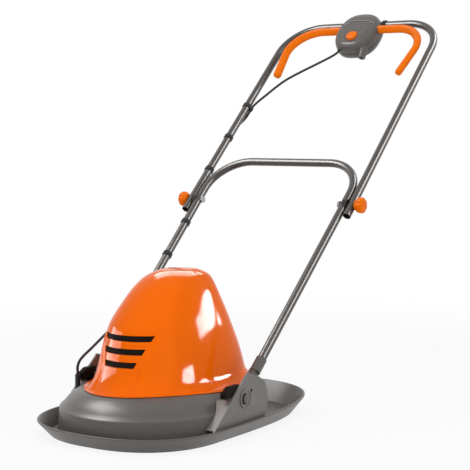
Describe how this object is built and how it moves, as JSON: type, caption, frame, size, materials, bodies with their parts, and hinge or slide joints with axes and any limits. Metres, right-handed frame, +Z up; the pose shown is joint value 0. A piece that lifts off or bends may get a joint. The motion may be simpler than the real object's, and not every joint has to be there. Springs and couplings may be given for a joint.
{
  "type": "hover mower",
  "caption": "Electric hover mower: a domed deck with an upturned rim, a tall slotted motor hood, a blade and impeller below, and a folding tube handle with a switch box and two levers.",
  "frame": {"origin": "on the ground, under the middle of the whole machine's box", "axes": "+Z up, +X to the right seen from the front, +Y from the front of the deck to the switch box"},
  "size_m": [0.5106, 1.177, 0.9229],
  "materials": {
    "deck_grey": "fine moulded grain",
    "hood_orange": "glossy moulded",
    "black_plastic": "moulded",
    "tube_paint": "satin coat",
    "steel": "plain",
    "cast_metal": "as cast",
    "copper": "lacquered wire",
    "carbon": "pressed carbon",
    "lead_rubber": "matt sheath"
  },
  "bodies": {
    "deck": {"deck_shell": "deck_grey", "motor_hood": "hood_orange", "louver_insert": "black_plastic", "hood_screws": "steel", "bracket_left": "deck_grey", "bracket_right": "deck_grey", "bracket_screws": "steel", "stop_left": "black_plastic", "stop_right": "black_plastic", "pivot_pin_left": "deck_grey", "pivot_pin_right": "deck_grey", "lead_gland": "lead_rubber", "motor_plate": "cast_metal", "plate_screws": "steel", "motor_can": "steel", "motor_cap": "black_plastic", "motor_bolts": "steel", "stator": "steel", "field_coils": "copper", "bearing_lower": "steel", "bearing_upper": "steel", "brush_holders": "black_plastic", "brushes": "carbon", "lead_deck": "lead_rubber"},
    "rotor": {"rotor_shaft": "steel", "armature": "steel", "commutator": "copper", "impeller": "black_plastic", "height_spacer": "black_plastic", "blade": "steel", "blade_bolt": "steel"},
    "lower_handle": {"lower_tube": "tube_paint", "foot_left": "deck_grey", "foot_right": "deck_grey", "saddle_left": "black_plastic", "saddle_right": "black_plastic", "clamp_bolts": "steel", "lower_clips": "black_plastic", "lead_lower": "lead_rubber", "lead_fold": "lead_rubber"},
    "upper_handle": {"upper_tube": "tube_paint", "box_front": "deck_grey", "box_rear": "deck_grey", "box_screws": "steel", "power_switch": "black_plastic", "lever_pins": "steel", "mains_inlet": "deck_grey", "upper_clips": "black_plastic", "lead_upper": "lead_rubber"},
    "knob_left": {"knob_left": "hood_orange"},
    "knob_right": {"knob_right": "hood_orange"},
    "lever_left": {"lever_left": "hood_orange"},
    "lever_right": {"lever_right": "hood_orange"},
    "lock_button": {"lock_button": "hood_orange"}
  },
  "joints": [
    {"name": "rotor_spin", "type": "hinge", "parent": "deck", "child": "rotor", "pos_m": [0, -0.37546, 0.06], "axis": [0, 0, 1], "continuous": true},
    {"name": "handle_tilt", "type": "hinge", "parent": "deck", "child": "lower_handle", "pos_m": [0, -0.30946, 0.078], "axis": [1, 0, 0], "range_deg": [0, 47], "deforming": ["lead_deck"]},
    {"name": "handle_fold", "type": "hinge", "parent": "lower_handle", "child": "upper_handle", "pos_m": [0, 0.09352, 0.45378], "axis": [1, 0, 0], "range_deg": [0, 140], "deforming": ["lead_fold"]},
    {"name": "knob_left_turn", "type": "hinge", "parent": "lower_handle", "child": "knob_left", "pos_m": [0, 0.09352, 0.45378], "axis": [1, 0, 0], "continuous": true},
    {"name": "knob_right_turn", "type": "hinge", "parent": "lower_handle", "child": "knob_right", "pos_m": [0, 0.09352, 0.45378], "axis": [1, 0, 0], "continuous": true},
    {"name": "lever_left_squeeze", "type": "hinge", "parent": "upper_handle", "child": "lever_left", "pos_m": [-0.026, 0.53292, 0.87994], "axis": [0, 0.682, -0.7314], "range_deg": [0, 4], "stiffness_Nm_per_rad": 2, "springref_deg": -11.46},
    {"name": "lever_right_squeeze", "type": "hinge", "parent": "upper_handle", "child": "lever_right", "pos_m": [0.026, 0.53292, 0.87994], "axis": [0, -0.682, 0.7314], "range_deg": [0, 4], "stiffness_Nm_per_rad": 2, "springref_deg": -11.46},
    {"name": "lock_button_press", "type": "slide", "parent": "upper_handle", "child": "lock_button", "axis": [0, 0.682, -0.7314], "range_m": [0, 0.004], "stiffness_N_per_m": 400, "springref_m": -0.003}
  ]
}
